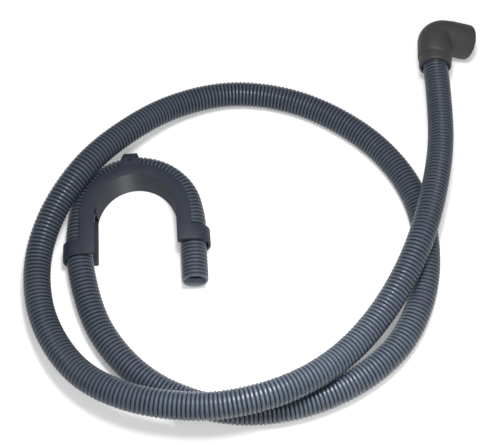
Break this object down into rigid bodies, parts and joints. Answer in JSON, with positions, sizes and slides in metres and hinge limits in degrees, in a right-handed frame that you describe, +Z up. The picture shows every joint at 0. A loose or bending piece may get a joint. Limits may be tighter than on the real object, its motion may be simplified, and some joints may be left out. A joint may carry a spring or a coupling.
{
  "type": "washing machine drain hose",
  "caption": "Corrugated drain hose in a loop, with a U-shaped guide near its open end and a rubber angle boot on the other.",
  "frame": {"origin": "middle of the bounding box in plan, at the height of the surface that the hose lies on", "axes": "+Z up from that surface; +Y towards the end with the rubber boot; +X to the right, the way the boot's outlet looks"},
  "size_m": [0.4762, 0.474, 0.0562],
  "materials": {
    "hose_plastic": "satin slate grey polypropylene, corrugated",
    "guide_plastic": "satin dark blue-grey moulded plastic",
    "boot_rubber": "matt dark grey rubber"
  },
  "bodies": {
    "root": {"drain_hose": "hose_plastic", "hose_hook": "guide_plastic", "elbow_cuff": "boot_rubber"}
  },
  "joints": []
}
